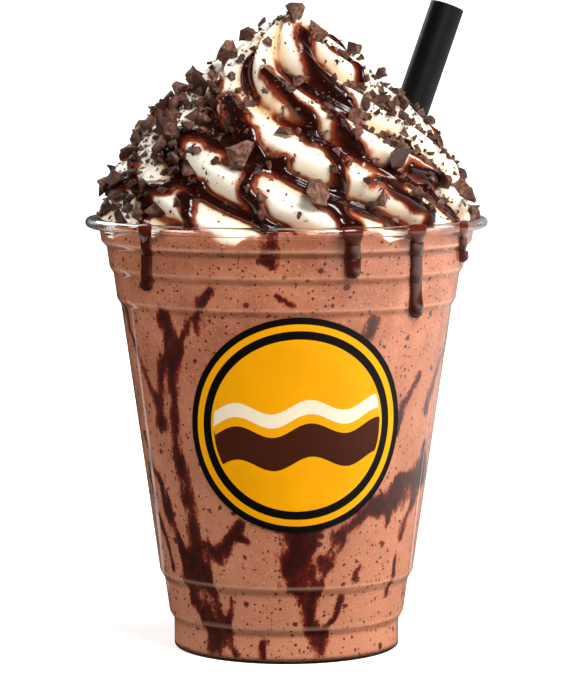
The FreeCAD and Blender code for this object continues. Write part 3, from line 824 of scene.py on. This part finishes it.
def sauce_cover(azimuth, height, radius, main):
    """Distance from sauce in half widths: the runs, and pools in some of the main valleys."""
    plain = np.stack(np.broadcast_arrays(
        radius * np.sin(np.radians(azimuth)), -radius * np.cos(np.radians(azimuth)), height), axis=-1)
    closeness = nearness(
        azimuth + 2.2 * soft_waves(plain, 11.0, seed=21),
        height + 0.8 * soft_waves(plain, 8.0, seed=22),
        np.maximum(radius, 4.0),
        [(0.88 * width, points) for width, points in SAUCE_RUNS],
    )
    pools = np.clip(0.66 + 1.1 * soft_waves(plain, 22.0, seed=23), 0.0, 1.0)
    pools = pools * np.clip((radius - 8.0) / 8.0, 0.0, 1.0)
    closeness = closeness + 0.95 * pools * np.clip((main - 0.40) / 0.36, 0.0, 1.0) ** 2
    return widths_away(closeness)


def padding(distance):
    """How far sauce lifts the surface, in mm, and what share of the valleys it fills."""
    cushion = np.clip(1.0 - distance ** 2, 0.0, 1.0)
    return 1.15 * cushion ** 0.72, 0.30 * cushion


# %% The sauce's mesh
SAUCE_COLUMNS, SAUCE_ROWS = 544, 196
sauce_angle = np.linspace(0.0, 2 * math.pi, SAUCE_COLUMNS, endpoint=False)[None, :]
sauce_dome = [part[:, None] for part in dome_outline(SAUCE_ROWS)]
sauce_azimuth = np.degrees(sauce_angle) + 90.0
main_valley = cream_push(sauce_angle, sauce_dome[1], sauce_dome[0])[1]
away = sauce_cover(sauce_azimuth, sauce_dome[1], sauce_dome[0], main_valley)
raised, filled = padding(away)
thickness = raised - 0.9 * np.clip((away - 1.0) / 0.55, 0.0, 1.0)
sauce_top, _ = cream_surface(sauce_angle, *sauce_dome, lift=thickness, filled=filled)
sauce_under, _ = cream_surface(sauce_angle, *sauce_dome, lift=-1.5)


def closed_sheet(top, under, keep):
    """Points and faces of a sheet over the kept cells of a ring grid, closed round its edges."""
    rows, columns = top.shape[:2]
    cells = ring_faces(rows, columns)
    kept = cells[keep[:-1].ravel()]
    count = rows * columns
    faces = [kept, kept[:, ::-1] + count]
    edges = np.concatenate([kept[:, [0, 1]], kept[:, [1, 2]], kept[:, [2, 3]], kept[:, [3, 0]]])
    forward = edges[:, 0] * count + edges[:, 1]
    backward = edges[:, 1] * count + edges[:, 0]
    rim = edges[~np.isin(forward, backward)]
    faces.append(np.stack([rim[:, 1], rim[:, 0], rim[:, 0] + count, rim[:, 1] + count], axis=-1))
    faces = np.concatenate(faces)
    points = np.concatenate([top.reshape(-1, 3), under.reshape(-1, 3)])
    used, renumbered = np.unique(faces, return_inverse=True)
    return points[used], renumbered.reshape(faces.shape), used % count


after = np.roll(away, -1, axis=1)
above = np.roll(away, -1, axis=0)
keep = np.minimum(np.minimum(away, after), np.minimum(above, np.roll(after, -1, axis=0))) < 1.30
sauce_points, sauce_faces, sauce_source = closed_sheet(sauce_top, sauce_under, keep)
print("sauce on the cream:", len(sauce_faces) * 2, "triangles")

# %% [markdown]
# Chocolate sauce is almost black where it is thick, and a warm brown where it thins out at its edge,
# because light gets through there.  The mesh keeps a value for how thin it is.  A smooth coat gives
# the sharp highlights.

# %% Chocolate sauce
sauce = Nodes("chocolate_sauce")
sauce.paint(sauce.ramp(
    sauce.value("thin"),
    (0.0, colour(18, 1, 1)), (0.22, colour(40, 7, 3)), (0.50, colour(80, 23, 10)),
    (0.80, colour(122, 48, 24)), (1.0, colour(160, 82, 48)),
))
sauce.set(Roughness=0.20, IOR=1.45, Coat_Weight=0.25, Coat_Roughness=0.05)
sauce.bump(sauce.noise(2.4, detail=2.0), 0.05, 0.5)
thin = np.clip(0.12 + 0.88 * np.clip(away, 0.0, 1.0) ** 3, 0.0, 1.0)
cream_sauce = new_object(
    "sauce_on_cream", sauce_points, sauce_faces, sauce.material,
    values={"thin": thin.ravel()[sauce_source]},
)
part_of_drink(cream_sauce)

# %% [markdown]
# Cream is white only where it is lit.  Its valleys look yellow, since light bounces between their
# walls, and sauce stains it at its edge.  The mesh carries both as values.

# %% Cream
cream_azimuth = np.degrees(cream_angle) + 90.0
cream_away = sauce_cover(cream_azimuth, dome_height, dome_radius, valley)
stain = np.clip((1.75 - cream_away) / 0.75, 0.0, 1.0)
white = Nodes("whipped_cream")
base = white.ramp(
    white.value("valley"), (0.10, colour(251, 240, 226)), (0.70, colour(240, 209, 164)),
)
patchy = white.math("MULTIPLY", white.noise(1.8, detail=4.0), 1.1)
stained = white.math("MULTIPLY", white.math("POWER", white.value("stain"), 1.6), patchy, clamp=True)
halo = white.ramp(
    stained, (0.0, colour(228, 180, 142)), (0.22, colour(184, 108, 70)), (0.55, colour(112, 40, 20)),
    (1.0, colour(52, 12, 6)),
)
cover = white.math("MULTIPLY", stained, 3.2, clamp=True)
cream_shade = white.mix(cover, base, halo)
crumbs_fine = specks(white, 2.3, 0.42)
cream_shade = white.mix(crumbs_fine, cream_shade, colour(78, 34, 24))
white.paint(cream_shade)
white.set(Roughness=0.38, Subsurface_Weight=0.6, Subsurface_Radius=(1.0, 0.7, 0.45))
white.set(Subsurface_Scale=0.0022)
white.bump(white.noise(1.3, detail=3.0), 0.06, 0.5)
cream = new_object(
    "whipped_cream", cream_points, ring_faces(CREAM_ROWS, CREAM_COLUMNS), white.material,
    values={"valley": np.broadcast_to(valley, cream_points.shape[:2]), "stain": stain},
)
merge_doubles(cream)
part_of_drink(cream, ["cream"])

# %% [markdown]
# ## Drips down the cup
# Where a run reaches the rim, it crosses it as a thin film and goes on down the outside of the wall,
# ending in a fat drop.  Each drip is a half round section carried along a path in the upright plane
# through the cup's axis.  Width and thickness change along the path.

# %% Drips
DRIPS = [
    (-52.0, 13.8, 3.4), (20.8, 9.7, 3.9), (49.2, 20.2, 4.1), (75.4, 8.1, 3.4),
    (118.0, 13.0, 3.7), (171.0, 17.5, 3.9), (-112.0, 7.5, 3.2),
]


def drip_path(length):
    """Radius and height along a drip: over the rolled rim, in under it and down the wall."""
    over = arc(bead_in, bead_round + 0.02, 175, 90, 8)
    round_edge = arc(bead_out, bead_round + 0.02, 90, -60, 16)
    down_heights = np.linspace(COLLAR_TOP - 1.4, COLLAR_TOP - length, 40)
    down = np.stack([wall_radius(down_heights) - 0.02, down_heights], axis=-1)
    return np.concatenate([over, round_edge, down])


def drip(name, azimuth, length, width, seed):
    """A drip: half width and thickness follow the path, and the end is rounded off.

    It hangs straight down: its distance to the left or right of the cup's axis stays the same.
    Across, thickness falls as (1 - a^2)^0.6 with a from -1 to 1.
    """
    path = drip_path(length)
    steps = np.hypot(*np.diff(path, axis=0).T)
    run = np.concatenate([[0.0], np.cumsum(steps)])
    samples = np.linspace(0.0, run[-1], 90)
    radius = np.interp(samples, run, path[:, 0])
    height = np.interp(samples, run, path[:, 1])
    slope_r, slope_z = np.gradient(radius), np.gradient(height)
    size = np.hypot(slope_r, slope_z)
    out_r, out_z = -slope_z / size, slope_r / size

    left = run[-1] - samples
    half = 0.5 * width
    in_bead = np.sqrt(np.clip(1.0 - (1.0 - np.clip(left / half, 0.0, 1.0)) ** 2, 0.0, 1.0))
    bulge = np.exp(-((left - half) / (0.9 * width)) ** 2)
    spread = 1.0 / (1.0 + (samples / 6.5) ** 4)
    half_width = half * (0.98 + 0.10 * bulge + 0.42 * spread) * in_bead
    half_width = half_width * (1.0 + 0.05 * np.sin(samples * 0.9 + seed))
    on_rim = np.clip((samples - 6.0) / 4.0, 0.0, 1.0)
    depth = (0.28 + on_rim * (0.75 + 0.85 * bulge)) * in_bead
    film = 1.0 - on_rim

    across = np.sin(np.linspace(-math.pi / 2, math.pi / 2, 25))[None, :]
    lift = depth[:, None] * (1.0 - across ** 2) ** 0.6
    front = np.stack([
        (radius[:, None] + lift * out_r[:, None]),
        across * half_width[:, None],
        (height[:, None] + lift * out_z[:, None]),
    ], axis=-1)
    back = front[:, 1:-1][:, ::-1].copy()
    back[..., 0] = radius[:, None] - 0.03
    back[..., 2] = height[:, None]
    section = np.concatenate([front, back], axis=1)
    side_place = path[-1, 0] * math.sin(math.radians(azimuth))
    facing = 1.0 if math.cos(math.radians(azimuth)) > 0.0 else -1.0
    own_turn = np.arctan2(-facing * np.sqrt(radius ** 2 - side_place ** 2), side_place)
    turn = own_turn[:, None] + section[..., 1] / section[..., 0]
    points = round_axis(section[..., 0], turn, section[..., 2])
    count = points.shape[1]
    faces = ring_faces(len(samples), count)[:, ::-1]
    caps = np.array([[0, i, i + 1] for i in range(1, count - 1)])
    thinness = np.broadcast_to((0.34 + 0.16 * film)[:, None], points.shape[:2])
    edge = np.concatenate([np.abs(across[0]), np.ones(count - across.shape[1])])[None, :] ** 6
    thinness = np.maximum(thinness, 0.8 * edge)
    faces = [tuple(face) for face in faces] + [tuple(face) for face in caps]
    faces += [tuple(face[::-1] + (len(samples) - 1) * count) for face in caps]
    return new_object(name, points, faces, sauce.material, values={"thin": thinness})


for number, (azimuth, length, width) in enumerate(DRIPS, start=1):
    piece = drip(f"sauce_run_{number}", azimuth, length, width, seed=number)
    merge_doubles(piece)
    part_of_drink(piece, [f"sauce_drip_{number}"])

# %% [markdown]
# ## Broken chocolate
# Chocolate breaks into pieces with a few flat faces and sharp edges.  Faces from the mould are smooth
# and dark, and broken faces are rough and paler.  A piece is the tight skin round a handful of random
# corners, so its faces are flat and its edges sharp.  Each face is then divided, and the points of
# the broken faces are moved in and out by fine waves.

# %% A broken piece


def broken_piece(seed, corners, cuts, grain, stretch):
    """Points, triangles and roughness of a piece about 1 across, as three arrays.

    The skin round random corners is divided into cuts + 1 parts along each edge.  Points whose
    normal turns to a random side are shifted along it by grain times a sum of waves.
    """
    random = np.random.default_rng(seed)
    spots = random.normal(size=(corners, 3))
    spots *= random.uniform(0.40, 0.58, (corners, 1)) / np.linalg.norm(spots, axis=1, keepdims=True)
    work = bmesh.new()
    for spot in spots * stretch:
        work.verts.new(spot)
    bmesh.ops.convex_hull(work, input=work.verts)
    loose = [vertex for vertex in work.verts if not vertex.link_faces]
    bmesh.ops.delete(work, geom=loose, context="VERTS")
    bmesh.ops.subdivide_edges(work, edges=work.edges, cuts=cuts, use_grid_fill=True)
    bmesh.ops.triangulate(work, faces=work.faces)
    bmesh.ops.recalc_face_normals(work, faces=work.faces)
    work.verts.index_update()
    points = np.array([vertex.co[:] for vertex in work.verts])
    normals = np.array([vertex.normal[:] for vertex in work.verts])
    faces = np.array([[vertex.index for vertex in face.verts] for face in work.faces])
    work.free()
    side = random.normal(size=3)
    rough = np.clip(0.6 + 1.8 * normals @ (side / np.linalg.norm(side)), 0.05, 1.0)
    waves = sum(
        share * soft_waves(points, size, seed=seed + step)
        for step, (share, size) in enumerate(((1.0, 0.62), (0.7, 0.31), (0.5, 0.17)), start=1)
    )
    return points + normals * (grain * rough * waves)[:, None], faces, rough


def turned_about(points, seed):
    """Turn each of many pieces about its own middle: a random unit quaternion, as a matrix."""
    random = np.random.default_rng(seed)
    spin = random.normal(size=(len(points), 4))
    spin /= np.linalg.norm(spin, axis=1, keepdims=True)
    w, x, y, z = spin.T
    turn = np.stack([
        1 - 2 * (y * y + z * z), 2 * (x * y - z * w), 2 * (x * z + y * w),
        2 * (x * y + z * w), 1 - 2 * (x * x + z * z), 2 * (y * z - x * w),
        2 * (x * z - y * w), 2 * (y * z + x * w), 1 - 2 * (x * x + y * y),
    ], axis=-1).reshape(-1, 3, 3)
    return np.einsum("cij,cvj->cvi", turn, points)


# %% Places on the cream
SEAT_ROWS = 600


def cream_seat(azimuth, share, lift):
    """Points on the cream or on its sauce, and the outward normals there.

    share goes from 0 at the rim to 1 at the tip, along the dome's outline.
    """
    outline = dome_outline(SEAT_ROWS)
    start = np.searchsorted(outline[1], CUP_TOP) / SEAT_ROWS
    place = (start + share * (1.0 - start)) * (SEAT_ROWS - 1)
    pick = [np.interp(place, np.arange(SEAT_ROWS), line) for line in outline]
    angle = np.radians(azimuth - 90.0)
    main = cream_push(angle, pick[1], pick[0])[1]
    raised, filled = padding(sauce_cover(azimuth, pick[1], pick[0], main))
    points, _ = cream_surface(angle, *pick, lift=raised + lift, filled=filled)
    return points, round_axis(pick[2], angle, pick[3])


def share_of_height(height):
    """The share along the outline at which the dome has this height."""
    heights = dome_outline(SEAT_ROWS)[1]
    start = np.searchsorted(heights, CUP_TOP)
    place = np.interp(height, heights, np.arange(SEAT_ROWS))
    return np.clip((place - start) / (SEAT_ROWS - 1 - start), 0.0, 1.0)


# %% Broken chocolate, brown outside and paler where it broke
chocolate = Nodes("dark_chocolate")
grain = chocolate.noise(1.1, detail=5.0, roughness=0.7)
choc_shade = chocolate.ramp(
    grain,
    (0.30, colour(48, 24, 17)), (0.44, colour(82, 48, 37)), (0.56, colour(116, 78, 63)),
    (0.74, colour(164, 122, 104)),
)
choc_shade = chocolate.mix(chocolate.value("rough"), colour(58, 31, 24), choc_shade)
chocolate.paint(choc_shade)
chocolate.link(
    chocolate.ramp(grain, (0.3, (0.42,) * 3 + (1.0,)), (0.7, (0.7,) * 3 + (1.0,))),
    chocolate.shader.inputs["Roughness"],
)
chocolate.bump(chocolate.noise(0.55, detail=5.0, roughness=0.7), 0.22, 0.8)

# %% The large chunks
CHUNK_SCALE, CHUNK_LIFT = 1.22, 0.24
chunk_names = sorted(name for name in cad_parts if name.startswith("chocolate_chunk"))
boxes = [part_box(name) for name in chunk_names]
middles = np.array([(low + high) / 2 for low, high in boxes]) / MM
sizes = np.array([max(high - low) for low, high in boxes]) / MM
chunk_azimuth = np.degrees(np.arctan2(middles[:, 0], -middles[:, 1]))
seats, seat_normals = cream_seat(chunk_azimuth, share_of_height(middles[:, 2]), 0.0)
for number, (name, seat, normal, size) in enumerate(zip(chunk_names, seats, seat_normals, sizes)):
    points, faces, rough = broken_piece(400 + number, 9, 6, 0.034, (1.2, 1.05, 0.8))
    points = turned_about(points[None] * CHUNK_SCALE * size, seed=500 + number)[0]
    points = points + seat + normal * CHUNK_LIFT * size
    piece = new_object(name.replace("chocolate_chunk", "broken_chunk"), points, faces,
                       chocolate.material, smooth=False, values={"rough": rough})
    part_of_drink(piece, [name])

# %% [markdown]
# ## Crumbs
# The rest of the chocolate is crumbs, more of them at the left and right edges than elsewhere.  All
# crumbs of one kind are one mesh.  Each sits on the cream or on the sauce and is sunk in a little.
# Those at the edges are also piled up.

# %% Scattered crumbs
AT_LEFT, AT_SIDES = 0.36, 0.60
CRUMB_LIFT = 0.216


def scatter(name, count, shapes, smallest, largest, seed, pile=0.0):
    """Crumbs over the dome: a third at the left edge, a quarter at the right, the rest anywhere.

    Sizes have many small ones and few large ones.  Each crumb is one of a few shapes, turned.
    """
    random = np.random.default_rng(seed)
    share = random.uniform(0.0, 0.985, count)
    share = np.where(random.uniform(size=count) < 1.1 - share, share, share * 0.6)
    kind = random.uniform(size=count)
    azimuth = np.where(
        kind < AT_LEFT, random.normal(-66.0, 20.0, count), random.normal(66.0, 18.0, count))
    azimuth = np.where(kind > AT_SIDES, random.uniform(-180.0, 180.0, count), azimuth)
    size = smallest + (largest - smallest) * random.uniform(size=count) ** 2.2
    piled = pile * random.uniform(0.0, 1.0, count) * (kind < AT_SIDES)
    lift = size * (CRUMB_LIFT + piled)
    seats, _ = cream_seat(azimuth, share, lift)
    all_points, all_faces, all_rough, used = [], [], [], 0
    for number, (points, faces, rough) in enumerate(shapes):
        pick = np.arange(number, count, len(shapes))
        placed = points[None] * size[pick, None, None]
        placed = turned_about(placed, seed=seed + number) + seats[pick, None]
        all_points.append(placed.reshape(-1, 3))
        steps = used + np.arange(len(pick))[:, None, None] * len(points)
        all_faces.append((faces[None] + steps).reshape(-1, 3))
        all_rough.append(np.tile(rough, len(pick)))
        used += placed.shape[0] * len(points)
    piece = new_object(
        name, np.concatenate(all_points), np.concatenate(all_faces), chocolate.material,
        smooth=False, values={"rough": np.concatenate(all_rough)})
    part_of_drink(piece)


large_shapes = [broken_piece(600 + n, 9, 1, 0.060, (1.15, 1.0, 0.8)) for n in range(14)]
small_shapes = [broken_piece(700 + n, 7, 1, 0.075, (1.15, 1.0, 0.8)) for n in range(14)]
speck_shapes = [broken_piece(800 + n, 6, 1, 0.05, (1.3, 0.9, 0.7)) for n in range(10)]
scatter("large_crumbs", 230, large_shapes, 2.4, 5.2, seed=51, pile=0.30)
scatter("small_crumbs", 620, small_shapes, 1.1, 2.8, seed=61, pile=0.45)
scatter("specks", 3000, speck_shapes, 0.40, 1.3, seed=71)

# %% [markdown]
# ## The straw
# The CAD node of the straw has the right shape already.  It only gets its finish: black plastic with
# a soft sheen.

# %% Straw
black = Nodes("black_straw")
black.paint(black.ramp(
    black.noise(6.0, detail=3.0), (0.3, colour(4, 3, 4)), (0.7, colour(10, 9, 9))))
black.set(Roughness=0.42, Specular_IOR_Level=0.25)
black.bump(black.noise(0.35, detail=2.0), 0.01, 0.4)
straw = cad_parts["straw"]
straw.data.materials.clear()
straw.data.materials.append(black.material)

# %% [markdown]
# ## The badge
# A round print on the front of the wall.  It is drawn with thin patches that follow the wall, each a
# few hundredths of a millimetre over the one under it: a black disc, amber rings, and plain waves.

# %% Patches on the wall
BADGE_AZIMUTH, BADGE_HEIGHT, BADGE_TURN = 4.4, 58.4, 3.0
BADGE_STRETCH = 1.035
BADGE_RADIUS = 25.8


def on_wall(across, up, lift):
    """Points of the wall at distances across and up from the badge's middle, in mm."""
    turn = math.radians(BADGE_TURN)
    x = BADGE_STRETCH * (across * math.cos(turn) - up * math.sin(turn))
    y = across * math.sin(turn) + up * math.cos(turn)
    height = BADGE_HEIGHT + y
    radius = wall_radius(height) + lift
    angle = math.radians(BADGE_AZIMUTH - 90.0) + x / radius
    return round_axis(radius, angle, height)


def print_ink(name, shade):
    """Printed ink with a slightly uneven colour."""
    ink = Nodes(name)
    darker = tuple(0.90 * part for part in shade[:3]) + (1.0,)
    ink.paint(ink.ramp(ink.noise(14.0, detail=2.0), (0.35, darker), (0.65, shade)))
    ink.set(Roughness=0.42, Specular_IOR_Level=0.12)
    return ink.material


def ring_patch(name, inner, outer, lift, material, columns=160, rows=10):
    """A ring or a disc, on the wall."""
    angle = np.linspace(0.0, 2 * math.pi, columns, endpoint=False)[None, :]
    radius = np.linspace(outer, inner, rows)[:, None]
    points = on_wall(radius * np.cos(angle), radius * np.sin(angle), lift)
    piece = new_object(name, points, ring_faces(rows, columns), material)
    merge_doubles(piece)
    part_of_drink(piece)


def wave_patch(name, low, high, reach, lift, material, columns=120, rows=12):
    """A wavy band across a disc of radius reach, between two waving heights."""
    x = np.linspace(-reach, reach, columns)[None, :]
    wave = 1.5 * np.sin(x * 2 * math.pi / 17.0 + 0.6)
    limit = np.sqrt(np.maximum(reach ** 2 - x ** 2, 0.0))
    bottom = np.clip(low + wave, -limit, limit)
    top = np.clip(high + wave, -limit, limit)
    y = bottom + (top - bottom) * np.linspace(0.0, 1.0, rows)[:, None]
    points = on_wall(np.broadcast_to(x, y.shape), y, lift)
    piece = new_object(name, points, ring_faces(rows, columns, closed=False), material)
    merge_doubles(piece)
    part_of_drink(piece)


# %% The badge's print
black_ink = print_ink("black_ink", colour(10, 9, 9))
amber_ink = print_ink("amber_ink", colour(247, 168, 6))
brown_ink = print_ink("brown_ink", colour(66, 28, 16))
cream_ink = print_ink("cream_ink", colour(247, 232, 206))
ring_patch("badge_disc", 0.0, BADGE_RADIUS, 0.05, black_ink)
ring_patch("badge_ring", 22.6, 24.2, 0.08, amber_ink)
ring_patch("badge_field", 0.0, 20.6, 0.08, amber_ink)
wave_patch("badge_wave_brown", -9.0, -1.0, 20.0, 0.11, brown_ink)
wave_patch("badge_wave_cream", 1.2, 4.6, 20.0, 0.11, cream_ink)
